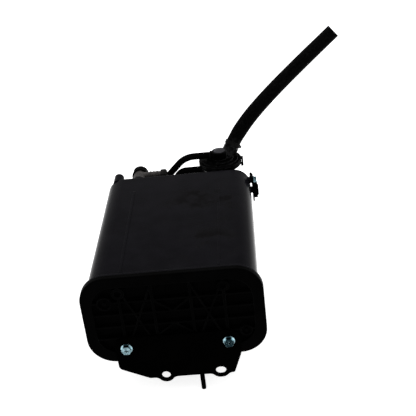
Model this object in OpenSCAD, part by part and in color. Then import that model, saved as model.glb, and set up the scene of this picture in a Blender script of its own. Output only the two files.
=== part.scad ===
// Charcoal canister of a vehicle's fuel vapour system, with its bracket, hoses and control valve.
// X runs across the canister, Y along it from the end cover to the ports, Z up through the broad faces.
// The origin is the round bolt hole of the mounting bracket, at the bracket's front face.

/* [Canister body] */
// Width of the flange where the end cover is welded on
flange_w = 202; // [188:1:216]
// Height of that flange
flange_h = 112; // [106:1:120]
// Corner radius of that flange
flange_r = 31; // [27:0.5:35]
// How far the flange stands out past the body's wall
flange_lip = 6; // [5:0.5:7]
// Thickness of the housing's own flange
flange_t = 3; // [2:0.5:5]
// Length from the front of the end cover to the ports end
body_len = 253; // [230:1:280]
// Wall thickness of the moulded housing
wall = 2.8; // [2.2:0.1:3.4]
// Draft of each wall over the body's length
draft = 0.8; // [0.5:0.1:2.5]
// Edge rounding of the ports end
end_edge = 3; // [2:0.5:5]
// Half the spacing of the long ribs on the broad faces
face_rib_x = 54.5; // [40:0.5:60]
// Width of those ribs
face_rib_w = 3; // [2:0.5:5]
// Height of those ribs
face_rib_h = 0.8; // [0.4:0.1:1.5]

/* [End cover] */
// Thickness of the cover at its rim
cover_t = 7; // [6:0.5:9]
// Edge rounding of the rim
cover_edge = 2; // [1:0.5:3]
// Width of the plain rim round the ribbed field
rim_w = 12.5; // [10:0.5:14.5]
// Depth of the ribbed field
field_depth = 4.5; // [3:0.5:5]
// Width of the main upright ribs
rib_t = 3; // [2:0.5:4]
// Width of the cross ribs
fine_rib_t = 1.8; // [1.2:0.1:2.4]
// How far the ribs lie below the rim
rib_drop = 0.5; // [0.3:0.1:1]
// Radius of the screw bosses
boss_r = 7; // [6.5:0.5:8]
// Depth of the collar that locates the cover in the housing
collar_depth = 5; // [3:0.5:8]
// Thickness of that collar
collar_t = 2; // [1.5:0.1:3]

/* [Mounting bracket] */
// Thickness of the bracket's plate
plate_t = 2; // [1.5:0.5:3]
// Distance between the two bracket screws
screw_span = 115; // [106:1:122]
// Drop of the bracket screws below the canister's centre
screw_drop = 36; // [34:0.5:38]
// Margin of plate round a bracket screw
screw_margin = 13.5; // [11:0.5:15]
// Diameter of the round bolt hole
hole_d = 10; // [8:0.5:10.5]
// Place of the round bolt hole across the canister
hole_x = -18; // [-24:0.5:-12]
// Drop of the round bolt hole below the centre
hole_drop = 78; // [74:0.5:82]
// Margin of plate round a bolt hole
lobe_margin = 4.5; // [4:0.1:6]
// Distance from the round bolt hole to the slotted one
slot_span = 62.7; // [56:0.1:68]
// Length of the slotted bolt hole
slot_len = 11.9; // [11.2:0.1:14]
// Drop of the plate's lower edge below the centre
plate_drop = 81; // [79.5:0.5:83]
// Width of the locating tongue
tongue_w = 5.2; // [4:0.1:7]
// Length of the locating tongue below the plate
tongue_len = 22; // [14:1:28]
// Thread diameter of the bracket screws
screw_d = 6; // [5:0.5:6]

/* [Beds and springs] */
// Place of the divider between the two beds
divider_x = 42; // [38:1:50]
// Thickness of the divider
divider_t = 2.4; // [1.8:0.1:3]
// Room for the springs between the cover and the grids
spring_gap = 20; // [16:1:26]
// Thickness of a grid plate
grid_t = 4; // [3:0.5:6]
// Thickness of a filter pad
pad_t = 5; // [3:0.5:8]
// Depth of the open space behind the ports
plenum = 13; // [12:0.5:18]
// Mean radius of a grid spring
spring_r = 12; // [9:0.5:14]
// Wire diameter of a grid spring
spring_wire = 2; // [1.4:0.1:2.4]
// Play between an inner piece and the housing
inner_play = 0.3; // [0.2:0.05:0.5]

/* [Ports] */
// Distance of the purge port from the body's side
purge_inset = 42; // [38:0.5:47]
// Distance of the purge port below the body's upper face
purge_drop = 11.5; // [10.5:0.5:15]
// Outer diameter of the purge fitting
purge_d = 18; // [15:0.5:18.5]
// Bore of the purge fitting
purge_bore = 9; // [7:0.5:10]
// Length of the purge fitting past the ports end
purge_reach = 35; // [30:0.5:38]
// Length of the dust cap on the purge fitting
cap_len = 12; // [8:0.5:12.5]
// Wall of the dust cap
cap_wall = 2.2; // [1.4:0.1:2.6]
// Diameter of the service branch
branch_d = 9; // [7:0.5:10]
// Length of the service branch from the purge port
branch_len = 29; // [25:0.5:34]
// Diameter of the cap on the service branch
branch_cap_d = 13; // [11:0.5:14]
// Diameter of the blind stub in the corner
stub_d = 13; // [10:0.5:14]
// Length of the blind stub
stub_len = 18; // [10:1:22]

/* [Control valve] */
// Outer radius of the valve's round housing
valve_r = 28.5; // [27:0.5:31]
// Distance of the valve's axis from the body's side
valve_inset = 39; // [36:0.5:41]
// Gap between the valve and the ports end
valve_gap = 4; // [3.6:0.1:8]
// Height of the valve's lower rim above the canister's centre
valve_z = 41.5; // [39:0.5:45]
// Height of the duct that carries the valve
duct_z = 6; // [2:0.5:8]
// Outer radius of that duct
duct_r = 12; // [11:0.5:13]
// Radius of the valve's tower
tower_r = 10; // [9.5:0.5:11]
// Thickness of the diaphragm
membrane_t = 1.2; // [0.8:0.1:1.6]

/* [Hoses] */
// Outer diameter of the vent hose
vent_d = 19; // [17:0.5:20]
// Bore of the vent hose
vent_bore = 14; // [12:0.5:14.5]
// Heading of the vent hose, from the X axis
vent_heading = 38; // [30:1:50]
// Outer diameter of the signal hose
signal_d = 9; // [7.5:0.5:9.5]
// Bore of the signal hose
signal_bore = 5; // [3.5:0.5:5.5]
// Bend radius at the top of the signal hose
signal_bend = 30; // [26:1:34]
// Outer diameter of the loop hose
loop_d = 9.5; // [8:0.5:10]
// Bore of the loop hose
loop_bore = 5.5; // [4.5:0.5:6]
// Bend radius of the loop hose
loop_bend = 14; // [12:0.5:15]
// Play between a hose and the nipple inside it
hose_play = 0.05; // [0.02:0.01:0.1]

/* [Side clip] */
// Height of the strap's screw above the centre
strap_screw_z = 35.5; // [33:0.5:37]
// Thickness of the strap
strap_t = 2; // [1.5:0.1:2.5]
// Width of the strap
strap_w = 12; // [10:0.5:12]
// Length of the line clip along the strap
clip_len = 18; // [14:0.5:20]
// How far the line clip stands off the strap
clip_h = 6; // [5:0.5:8]

/* [Hidden] */
$fn = 64;
// Overlap that lets one solid of a node run into the next
sink = 1;

// Body outline, which narrows by the draft towards the ports end
body_w = flange_w - 2 * flange_lip;
body_h = flange_h - 2 * flange_lip;
body_r = flange_r - 1.4 * flange_lip;
corner_x = body_w / 2 - body_r;
corner_z = body_h / 2 - body_r;
far_y = body_len;
function shrink(y) = draft * (y - cover_t) / (far_y - cover_t);
function half_w(y) = body_w / 2 - shrink(y);
function half_h(y) = body_h / 2 - shrink(y);
function corner_r(y) = body_r - shrink(y);

// Planes along the canister, from the cover to the ports
grid_y = cover_t + spring_gap;
cover_pad_y = grid_y + grid_t;
bed_y = cover_pad_y + pad_t;
plenum_y = far_y - wall - plenum;
port_pad_y = plenum_y - pad_t;

// Ribs behind the ports that hold the filter pads off the end wall
standoff_x = [-72, -32, 8, 74];
standoff_t = 2;

// Bracket screws and the bosses they go into
screw_x = screw_span / 2;
function head_flange_r(d) = d * 1.1;
function head_hex(d) = d * 1.67;
function head_h(d) = d * 0.95;
insert_r = screw_d / 2 + 1.2;
insert_len = 10;
insert_y = 1;
boss_len = insert_y + insert_len + 2;
screw_play = 0.05;
screw_len = plate_t + insert_y + insert_len - 1;
slot_x = hole_x + slot_span;
slot_drop = hole_drop - 1;
slot_play = slot_len - hole_d;
lobe_r = hole_d / 2 + lobe_margin;
lobe_blend = 8;
tongue_x = slot_x - 22;
right_fall = 18;
left_fall = 28.5;

// Ribbed field of the cover
field_w = flange_w - 2 * rim_w;
field_h = flange_h - 2 * rim_w;
field_r = flange_r - rim_w / 2;
inner_rib_x = 20.9;
level_rib_z = [-24, -8, 8, 24];
upper_boss_z = 35.3;
ring_boss_1 = [-74, 23.5];
ring_boss_2 = [78, -25.5];
ring_wall = 1.5;
ring_r = boss_r + 1.5;

// Springs behind the grids, two on the main bed and one on the buffer bed
main_span = divider_x - divider_t / 2 + body_w / 2 - wall;
main_mid = -body_w / 2 + wall + main_span / 2;
buffer_mid = (divider_x + divider_t / 2 + body_w / 2 - wall) / 2;
spring_spread = 0.225 * main_span;
spring_places = [[main_mid - spring_spread, 0], [main_mid + spring_spread, 0], [buffer_mid, 0]];
spring_turns = 5;
spring_post_r = spring_r - spring_wire / 2 - 0.6;
spring_post_len = 5;

// Purge fitting on the ports end
purge_x = -body_w / 2 + purge_inset;
purge_z = body_h / 2 - purge_drop;
purge_socket_r = purge_bore / 2 + 2;
purge_boss_len = 3;
purge_seat_y = far_y + purge_boss_len;
purge_end_y = far_y + purge_reach;
purge_nipple_r = purge_d / 2 - 1;
branch_y = purge_end_y - cap_len - branch_d / 2 - 1.5;
branch_z = purge_z + (purge_d - branch_d) / 2 - 0.6;
branch_end_x = purge_x + branch_len;
branch_cap_len = 8;
branch_bore = 4;
fit_play = 0.1;

// Control valve, stacked upwards from its seat on the duct
valve_x = body_w / 2 - valve_inset;
valve_y = far_y + valve_gap + valve_r;
duct_bore = duct_r - 2.8;
duct_top = duct_z + 16;
barrel_top = valve_z - 2.5;
spigot_r = duct_bore - 0.2;
spigot_len = 12;
rim_h = 5.5;
rim_chamfer = 1.5;
membrane_z = valve_z + rim_h;
cover_z = membrane_z + membrane_t;
step_h = 1.2;
steps = [valve_r, valve_r - 4.5, valve_r - 10.5];
shell_t = 2;
signal_z = cover_z + 3 * step_h + signal_d / 2 + 0.4;
tower_top = signal_z + signal_d / 2 + 0.6;
tower_bore = tower_r - shell_t;
dome_r = tower_r - 2.5;
dome_skirt = 0.6;
dome_rise = 1.4;
plate_r = 12;
plate_z = membrane_z + membrane_t / 2;
disc_t = 1;
valve_spring_r = 6.5;
valve_spring_wire = 1.2;
seal_r = 0.8;
groove_depth = 1.5;
seal_z = duct_top - 7;
clip_angles = [0, 80, 150, 290];
clip_gap = 0.3;
clip_t = 2.2;
hook_w = 8;
hook_drop = 3;
lid_stub_d = 5.5;

// Vent hose, from the neck on the valve: points in its upright plane, as run and rise
vent_start = [valve_x + tower_r + 6.9, valve_y + tower_r + 3.4, cover_z + 12.4];
vent_route = [[0, 0], [4.3, 5.5], [9.1, 10.6], [14.9, 16.1], [21.9, 21.8], [29.9, 27.7], [39.1, 33.8],
    [50.3, 40.4], [62.6, 47.1], [76, 53.9], [90.4, 60.9], [104.9, 67.6], [120.4, 74.6], [135.9, 81.5],
    [151.5, 88.3], [167.1, 95], [181.8, 101.3], [194.7, 106.8]];
vent_sides = 12;
vent_lean = atan2(vent_route[1][0], vent_route[1][1]);
neck_len = 13;
neck_nipple_len = 5;
clamp_gap = 0.15;
clamp_band = 1;
clamp_w = 5.5;

// Nipples and elbows that the thin hoses are pushed on
nipple_len = 7;
nipple_wall = 0.8;
elbow_rise = 8;

// Signal hose, in the upright plane of the valve's axis: run, bend, slope, bend and foot
signal_collar = 3;
signal_start_x = valve_x - tower_r - signal_collar;
signal_run = 21.5;
signal_turn = 45;
signal_slope = 26;
signal_foot_bend = 15;
signal_foot = 8;
signal_p1 = [signal_start_x - signal_run, signal_z];
signal_c1 = signal_p1 - [0, signal_bend];
signal_p2 = signal_c1 + signal_bend * [cos(90 + signal_turn), sin(90 + signal_turn)];
signal_p3 = signal_p2 - signal_slope * [cos(signal_turn), sin(signal_turn)];
signal_c2 = signal_p3 + signal_foot_bend * [sin(signal_turn), -cos(signal_turn)];
signal_p4 = signal_c2 - [signal_foot_bend, 0];
signal_end_z = signal_p4[1] - signal_foot;
signal_route = concat([[signal_start_x, signal_z]],
    arc_points(signal_c1, signal_bend, 90, 90 + signal_turn, 6),
    arc_points(signal_c2, signal_foot_bend, 90 + signal_turn, 180, 6), [[signal_p4[0], signal_end_z]]);
thin_sides = 16;

// Loop hose, from a port up and over to a nipple on the valve's barrel, in the same upright plane
loop_span = 61;
loop_x = valve_x - loop_span;
loop_z = valve_z - loop_d / 2 - 0.3;
loop_leg = 8;
loop_collar = 3;
loop_end_x = valve_x - duct_r - loop_collar;
loop_c1 = [loop_x + loop_bend, loop_z - loop_bend];
loop_start_z = loop_c1[1] - loop_leg;
loop_route = concat([[loop_x, loop_start_z]], arc_points(loop_c1, loop_bend, 180, 90, 8),
    [[loop_end_x, loop_z]]);

// Side strap near the ports end
strap_screw_d = 4.5;
strap_screw_len = 8;
strap_boss_len = 6;
strap_y = far_y - wall - plenum / 2;
strap_pad = 2;
strap_x = half_w(strap_y - strap_w / 2) + strap_pad;
strap_top = strap_screw_z + head_flange_r(strap_screw_d) + 0.5;
strap_lug = 4;
strap_bend = 45;
clip_z = strap_screw_z - head_flange_r(strap_screw_d) - 0.5 - clip_len / 2;
clip_line_r = 2;
clip_peg_r = 2.2;
strap_bottom = clip_z - clip_len / 2 - 7;
strap_boss_r = head_flange_r(strap_screw_d) - 0.6;

// Moves a shape from the canister's own place to the bracket hole's frame
module in_place() {
    translate([-hole_x, plate_t, hole_drop]) children();
}

// Extrudes an outline drawn in X and Z from one plane along the canister to another
module along_y(y0, y1) {
    translate([0, y1, 0]) rotate([90, 0, 0]) linear_extrude(y1 - y0) children();
}

module rounded_rect(w, h, r) {
    square([w - 2 * r, h], center = true);
    square([w, h - 2 * r], center = true);
    for (sx = [-1, 1], sy = [-1, 1])
        translate([sx * (w / 2 - r), sy * (h / 2 - r)]) circle(r);
}

// Points of an outline whose corners [x, y, radius] are rounded, with a few points to each arc
function unit(v) = v / norm(v);
function corner_arc(a, b, c) =
    let (
        u = unit([a[0] - b[0], a[1] - b[1]]),
        w = unit([c[0] - b[0], c[1] - b[1]]),
        half = acos(u * w) / 2,
        reach = b[2] / tan(half),
        mid = [b[0], b[1]] + unit(u + w) * b[2] / sin(half),
        p = [b[0], b[1]] + u * reach - mid,
        q = [b[0], b[1]] + w * reach - mid,
        n = 8
    )
    [for (i = [0 : n]) mid + unit(p * (n - i) + q * i) * b[2]];
function rounded(c) =
    let (n = len(c))
    [for (i = [0 : n - 1]) each corner_arc(c[(i + n - 1) % n], c[i], c[(i + 1) % n])];

// Straight bar between two points of an outline
module bar(a, b, w) {
    d = b - a;
    translate(a) rotate(atan2(d[1], d[0])) translate([0, -w / 2]) square([norm(d), w]);
}

// The drafted body between two planes, set in by a distance from the outer surface
module drafted_box(inset, y0, y1) {
    for (sx = [-1, 1], sz = [-1, 1])
        translate([sx * corner_x, y0, sz * corner_z]) rotate([-90, 0, 0])
            cylinder(h = y1 - y0, r1 = corner_r(y0) - inset, r2 = corner_r(y1) - inset);
    w0 = half_w(y0) - inset;
    w1 = half_w(y1) - inset;
    translate([0, 0, -corner_z]) linear_extrude(2 * corner_z)
        polygon([[-w0, y0], [w0, y0], [w1, y1], [-w1, y1]]);
    h0 = half_h(y0) - inset;
    h1 = half_h(y1) - inset;
    translate([-corner_x, 0, 0]) rotate([90, 0, 90]) linear_extrude(2 * corner_x)
        polygon([[y0, -h0], [y1, -h1], [y1, h1], [y0, h0]]);
}

// Slab with a rounded upper edge, from z = 0 to its edge radius
module edge_profile(half, e) {
    square([half - e, e]);
    intersection() {
        translate([half - e, 0]) circle(e);
        square([half, e]);
    }
}
module rounded_slab(half_x, half_y, r, e) {
    for (sx = [-1, 1], sy = [-1, 1])
        translate([sx * (half_x - r), sy * (half_y - r), 0]) rotate_extrude() edge_profile(r, e);
    for (s = [0, 1]) {
        translate([0, half_y - r, 0]) rotate([90, 0, 0]) linear_extrude(2 * (half_y - r))
            mirror([s, 0]) edge_profile(half_x, e);
        translate([-(half_x - r), 0, 0]) rotate([90, 0, 90]) linear_extrude(2 * (half_x - r))
            mirror([s, 0]) edge_profile(half_y, e);
    }
}

// Slice of the inner space that one bed fills, with play to the walls and the divider
module main_slice(y0, y1) {
    intersection() {
        drafted_box(wall + inner_play, y0, y1);
        translate([-body_w, y0, -body_h])
            cube([body_w + divider_x - divider_t / 2 - inner_play, y1 - y0, 2 * body_h]);
    }
}
module buffer_slice(y0, y1) {
    intersection() {
        drafted_box(wall + inner_play, y0, y1);
        translate([divider_x + divider_t / 2 + inner_play, y0, -body_h])
            cube([body_w, y1 - y0, 2 * body_h]);
    }
}

// Ring of points round a centre, in the plane of two unit vectors
function ring(c, r, u, v, n) =
    [for (j = [0 : n - 1]) c + r * (cos(360 * j / n) * u + sin(360 * j / n) * v)];
// Side faces between rings of n points, with the first ring's index given
function sides(first, rings, n) =
    [for (i = [0 : rings - 2], j = [0 : n - 1])
        let (a = first + i * n, b = a + n, k = (j + 1) % n)
        [a + j, a + k, b + k, b + j]];
function backwards(list) = [for (i = [len(list) - 1 : -1 : 0]) list[i]];

// Coil spring along Z with its end turns drawn close
module coil_spring(mean_r, wire, height, turns) {
    per_turn = 16;
    n = 6;
    count = turns * per_turn;
    climb = height - wire;
    points = [for (i = [0 : count])
        let (
            t = i / count,
            a = 360 * turns * t,
            out = [cos(a), sin(a), 0],
            z = wire / 2 + climb * (0.5 * t + 0.5 * t * t * (3 - 2 * t))
        )
        each ring(mean_r * out + [0, 0, z], wire / 2, out, [0, 0, 1], n)];
    first_end = [for (j = [0 : n - 1]) j];
    last_end = [for (j = [n - 1 : -1 : 0]) count * n + j];
    polyhedron(points, concat([first_end, last_end], [for (f = sides(0, count + 1, n)) backwards(f)]));
}

// Points of an arc about a centre, from one angle to another
function arc_points(c, r, a0, a1, n) =
    [for (i = [0 : n]) let (a = a0 + (a1 - a0) * i / n) c + r * [cos(a), sin(a)]];

// Hose swept along a route of [run, rise] points in an upright plane with its own heading
function route_dir(route, i) = unit(route[min(i + 1, len(route) - 1)] - route[max(i - 1, 0)]);
function route_rings(route, heading, r, n) =
    let (
        ahead = [cos(heading), sin(heading), 0],
        across = [-sin(heading), cos(heading), 0]
    )
    [for (i = [0 : len(route) - 1])
        let (d = route_dir(route, i))
        each ring(route[i][0] * ahead + [0, 0, route[i][1]], r, across, [0, 0, d[0]] - d[1] * ahead, n)];
module swept_hose(route, heading, d, bore, n) {
    count = len(route);
    inner = count * n;
    last = (count - 1) * n;
    start_face = [for (j = [0 : n - 1]) [inner + j, inner + (j + 1) % n, (j + 1) % n, j]];
    end_face = [for (j = [0 : n - 1])
        [last + j, last + (j + 1) % n, inner + last + (j + 1) % n, inner + last + j]];
    polyhedron(concat(route_rings(route, heading, d / 2, n), route_rings(route, heading, bore / 2, n)),
        concat(sides(0, count, n), [for (f = sides(inner, count, n)) backwards(f)], start_face, end_face));
}
// Diameter of a nipple that just passes a swept hose's many-sided bore
function nipple_d(bore, n) = (bore - 2 * hose_play) * cos(180 / n);
function nipple_bore_r(bore) = nipple_d(bore, thin_sides) / 2 - nipple_wall;

// Moulded port that leaves the ports end, turns up and ends in a nipple for a hose
module port_elbow(x, y, top_z, d, bore) {
    z = top_z - elbow_rise;
    translate([x, far_y - sink, z]) rotate([-90, 0, 0]) cylinder(h = y - far_y + sink, d = d);
    translate([x, y, z]) sphere(d = d);
    translate([x, y, z]) cylinder(h = elbow_rise, d = d);
    translate([x, y, top_z - sink]) cylinder(h = nipple_len + sink, d = nipple_d(bore, thin_sides));
}
module port_elbow_bore(x, y, top_z, bore) {
    z = top_z - elbow_rise;
    r = nipple_bore_r(bore);
    translate([x, far_y - 2 * wall, z]) rotate([-90, 0, 0]) cylinder(h = y - far_y + 2 * wall, r = r);
    translate([x, y, z]) sphere(r);
    translate([x, y, z]) cylinder(h = elbow_rise + nipple_len + sink, r = r);
}

// Hex head screw with a flange, its seat at z = 0, its shank downwards
module flange_screw(d, len) {
    flange = d * 0.25;
    recess = [d * 0.75, d * 0.17, d * 0.8];
    difference() {
        union() {
            cylinder(h = flange, r = head_flange_r(d));
            translate([0, 0, flange]) cylinder(h = d * 0.1, r1 = head_flange_r(d), r2 = head_hex(d) / 2);
            cylinder(h = head_h(d), d = head_hex(d) / cos(30), $fn = 6);
            translate([0, 0, -len]) cylinder(h = len + flange, d = d);
        }
        for (a = [0, 90]) rotate([0, 0, a]) translate([0, 0, head_h(d)]) cube(recess, center = true);
    }
}

module housing() {
    color("#1b1b1d") in_place() difference() {
        union() {
            along_y(cover_t, cover_t + flange_t) rounded_rect(flange_w, flange_h, flange_r);
            drafted_box(0, cover_t, far_y - end_edge);
            translate([0, far_y - end_edge, 0]) rotate([-90, 0, 0])
                rounded_slab(half_w(far_y - end_edge), half_h(far_y - end_edge),
                    corner_r(far_y - end_edge), end_edge);
            for (sx = [-1, 1], sz = [-1, 1]) face_rib(sx * face_rib_x, sz);
            translate([purge_x, far_y - end_edge, purge_z]) rotate([-90, 0, 0])
                cylinder(h = end_edge + purge_boss_len, r = purge_d / 2 + 1.5);
            corner_stub();
            valve_duct();
            port_elbow(signal_p4[0], valve_y, signal_end_z, signal_d, signal_bore);
            port_elbow(loop_x, valve_y, loop_start_z, loop_d, loop_bore);
            strap_pads();
        }
        housing_hollow();
        translate([purge_x, far_y - 2 * wall, purge_z]) rotate([-90, 0, 0])
            cylinder(h = 2 * wall + purge_boss_len + sink, r = purge_socket_r + fit_play);
        valve_duct_bore();
        port_elbow_bore(signal_p4[0], valve_y, signal_end_z, signal_bore);
        port_elbow_bore(loop_x, valve_y, loop_start_z, loop_bore);
        strap_holes();
    }
}

// The inner space, with the divider and the standoffs behind the ports left in it
module housing_hollow() {
    difference() {
        drafted_box(wall, cover_t - sink, far_y - wall);
        translate([divider_x - divider_t / 2, cover_pad_y, -body_h]) cube([divider_t, far_y, 2 * body_h]);
        for (x = standoff_x)
            translate([x - standoff_t / 2, plenum_y, -corner_z]) cube([standoff_t, far_y, 2 * corner_z]);
        translate([half_w(far_y) - wall - strap_boss_len, strap_y, strap_screw_z]) rotate([0, 90, 0])
            cylinder(h = strap_boss_len + wall, r = strap_screw_d / 2 + 2);
    }
}

// Long raised rib on a broad face, which follows the face's draft
module face_rib(x, side) {
    y0 = cover_t + flange_t + 8;
    y1 = far_y - 40;
    ramp = 2;
    translate([x - face_rib_w / 2, 0, 0]) rotate([90, 0, 90]) linear_extrude(face_rib_w)
        polygon([[y0, 0], [y1, 0], [y1, side * half_h(y1)],
            [y1 - ramp, side * (half_h(y1) + face_rib_h)], [y0 + ramp, side * (half_h(y0) + face_rib_h)],
            [y0, side * half_h(y0)]]);
}

module corner_stub() {
    z = half_h(far_y) - stub_d / 2 - 0.4;
    x = -half_w(far_y) + stub_d / 2 + 7.5;
    translate([x, far_y - end_edge, z]) rotate([-90, 0, 0])
        cylinder(h = end_edge + stub_len - 2, d = stub_d);
    translate([x, far_y + stub_len - 2, z]) rotate([-90, 0, 0])
        cylinder(h = 2, d1 = stub_d, d2 = stub_d - 3);
}

// Duct that leaves the ports end below the valve and turns up to carry it
module valve_duct() {
    translate([valve_x, far_y - sink, duct_z]) rotate([-90, 0, 0])
        cylinder(h = valve_y - far_y + sink, r = duct_r);
    translate([valve_x, valve_y, duct_z]) sphere(duct_r);
    translate([valve_x, valve_y, duct_z]) cylinder(h = duct_top - duct_z, r = duct_r);
}
module valve_duct_bore() {
    translate([valve_x, far_y - 2 * wall, duct_z]) rotate([-90, 0, 0])
        cylinder(h = valve_y - far_y + 2 * wall, r = duct_bore - 2.5);
    translate([valve_x, valve_y, duct_z]) sphere(duct_bore - 2.5);
    translate([valve_x, valve_y, duct_top - spigot_len - 0.5])
        cylinder(h = spigot_len + 0.5 + sink, r = duct_bore);
}

// Round bosses that carry the strap, at its screw and at the clip's peg
module strap_pads() {
    inner_x = half_w(far_y) - body_r / 2;
    for (z = [strap_screw_z, clip_z])
        translate([inner_x, strap_y, z]) rotate([0, 90, 0])
            cylinder(h = strap_x - inner_x, r = strap_boss_r);
}
module strap_holes() {
    translate([strap_x - strap_screw_len, strap_y, strap_screw_z]) rotate([0, 90, 0])
        cylinder(h = strap_screw_len + sink, d = strap_screw_d + 2 * screw_play);
    translate([strap_x - strap_pad, strap_y, clip_z]) rotate([0, 90, 0])
        cylinder(h = strap_pad + sink, r = clip_peg_r + fit_play);
}

module end_cover() {
    color("#161617") in_place() difference() {
        union() {
            difference() {
                union() {
                    along_y(cover_edge, cover_t) rounded_rect(flange_w, flange_h, flange_r);
                    translate([0, cover_edge, 0]) rotate([90, 0, 0])
                        rounded_slab(flange_w / 2, flange_h / 2, flange_r, cover_edge);
                }
                along_y(-sink, field_depth) rounded_rect(field_w, field_h, field_r);
            }
            along_y(rib_drop, field_depth + sink) intersection() {
                rounded_rect(field_w + 2, field_h + 2, field_r);
                field_ribs();
            }
            along_y(0, field_depth + sink) rim_bosses();
            for (sx = [-1, 1])
                translate([sx * screw_x, 0, -screw_drop]) rotate([-90, 0, 0])
                    cylinder(h = boss_len, r = boss_r);
            cover_collar();
            for (p = spring_places)
                translate([p[0], field_depth, p[1]]) rotate([-90, 0, 0])
                    cylinder(h = cover_t - field_depth + spring_post_len, r = spring_post_r);
        }
        for (sx = [-1, 1])
            translate([sx * screw_x, -sink, -screw_drop]) rotate([-90, 0, 0])
                cylinder(h = insert_y + insert_len + sink, r = insert_r + fit_play);
        along_y(-sink, field_depth - 1.5) ring_holes();
    }
}

// Upright ribs, level ribs and crossed braces of the cover's field
module field_ribs() {
    for (x = [-screw_x, -inner_rib_x, inner_rib_x, screw_x])
        translate([x - rib_t / 2, -field_h]) square([rib_t, 2 * field_h]);
    for (z = level_rib_z)
        translate([-field_w, z - fine_rib_t / 2]) square([2 * field_w, fine_rib_t]);
    for (sx = [-1, 1], sz = [-1, 1]) {
        bar([sx * screw_x, sz * field_h / 2], [sx * inner_rib_x, -sz * field_h / 2], fine_rib_t);
        bar([sx * inner_rib_x, sz * level_rib_z[3]], [0, sz * level_rib_z[2]], fine_rib_t);
    }
}

// Round bosses at the top of the outer ribs and the two ringed bosses in opposite corners
module rim_bosses() {
    for (sx = [-1, 1]) translate([sx * screw_x, upper_boss_z]) circle(boss_r);
    translate(ring_boss_1) circle(ring_r);
    translate(ring_boss_2) circle(boss_r);
}
module ring_holes() {
    for (sx = [-1, 1]) translate([sx * screw_x, upper_boss_z]) circle(boss_r - 2 * ring_wall);
    translate(ring_boss_1) difference() {
        circle(ring_r - ring_wall);
        circle(ring_wall + 0.5);
    }
    translate(ring_boss_2) difference() {
        circle(boss_r - ring_wall);
        circle(ring_wall + 0.5);
    }
}

module cover_collar() {
    difference() {
        drafted_box(wall + inner_play, cover_t - sink, cover_t + collar_depth);
        drafted_box(wall + inner_play + collar_t, cover_t - 2 * sink, cover_t + collar_depth + sink);
    }
}

module mount_bracket() {
    color("#121213") in_place() difference() {
        union() {
            along_y(-plate_t, 0) polygon(rounded(plate_corners()));
            along_y(-plate_t, 0) polygon(bolt_lobe(hole_x, hole_drop, 0));
            along_y(-plate_t, 0) polygon(bolt_lobe(slot_x, slot_drop, slot_play));
            along_y(-plate_t, 0) polygon(tongue());
        }
        plate_hole(hole_x, hole_drop, hole_d);
        for (s = [-1, 1]) {
            plate_hole(slot_x + s * slot_play / 2, slot_drop, hole_d);
            plate_hole(s * screw_x, screw_drop, screw_d + 0.6);
        }
        translate([slot_x - slot_play / 2, -plate_t - sink, -slot_drop - hole_d / 2])
            cube([slot_play, plate_t + 2 * sink, hole_d]);
    }
}
module plate_hole(x, drop, d) {
    translate([x, -plate_t - sink, -drop]) rotate([-90, 0, 0]) cylinder(h = plate_t + 2 * sink, d = d);
}

// Corners of the plate as [x, z, corner radius], clockwise from the upper left
function plate_corners() =
    let (
        side = screw_x + screw_margin,
        top = -screw_drop + screw_margin,
        right = slot_x + slot_play / 2 + lobe_reach(slot_drop) + 1.8,
        left = hole_x - lobe_reach(hole_drop) - 5.1
    )
    [[-side, top, screw_margin], [side, top, screw_margin],
        [side - 1, -screw_drop - right_fall, screw_margin + 2], [right, -plate_drop, 2.5],
        [left, -plate_drop, 4], [-side + 1, -screw_drop - left_fall, 7]];

// Round lobe of plate under a bolt hole, blended into the lower edge on both sides
function lobe_reach(drop) = sqrt(pow(lobe_r + lobe_blend, 2) - pow(lobe_blend + plate_drop - drop, 2));
function lobe_half(drop, stretch) =
    let (
        low = -plate_drop - lobe_blend,
        reach = lobe_reach(drop),
        turn = atan2(-low - drop, reach)
    )
    concat(arc_points([stretch / 2, -drop], lobe_r, -90, -turn, 10),
        arc_points([stretch / 2 + reach, low], lobe_blend, 180 - turn, 90, 6),
        [[stretch / 2 + reach, -plate_drop + sink]]);
function bolt_lobe(x, drop, stretch) =
    let (half = lobe_half(drop, stretch))
    concat([for (p = half) [x + p[0], p[1]]], [for (p = backwards(half)) [x - p[0], p[1]]]);

function tongue() =
    let (
        r = tongue_w / 2,
        top = -plate_drop + sink
    )
    concat([[tongue_x - r, top], [tongue_x + r, top]],
        arc_points([tongue_x, -plate_drop - tongue_len + r], r, 0, -180, 12));

module bracket_screws() {
    color("#c9d3d8") in_place() for (sx = [-1, 1])
        translate([sx * screw_x, -plate_t, -screw_drop]) rotate([90, 0, 0])
            flange_screw(screw_d, screw_len);
}

module screw_inserts() {
    color("#b08d4a") in_place() for (sx = [-1, 1])
        translate([sx * screw_x, insert_y, -screw_drop]) rotate([-90, 0, 0]) difference() {
            cylinder(h = insert_len, r = insert_r);
            translate([0, 0, -sink]) cylinder(h = insert_len + 2 * sink, r = screw_d / 2 + screw_play);
        }
}

module main_carbon_bed() {
    color("#0d0d0d") in_place() main_slice(bed_y, port_pad_y);
}
module buffer_carbon_bed() {
    color("#0d0d0d") in_place() buffer_slice(bed_y, port_pad_y);
}
module main_port_filter() {
    color("#8d8a80") in_place() main_slice(port_pad_y, plenum_y);
}
module buffer_port_filter() {
    color("#8d8a80") in_place() buffer_slice(port_pad_y, plenum_y);
}
module main_cover_filter() {
    color("#8d8a80") in_place() main_slice(cover_pad_y, bed_y);
}
module buffer_cover_filter() {
    color("#8d8a80") in_place() buffer_slice(cover_pad_y, bed_y);
}

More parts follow.
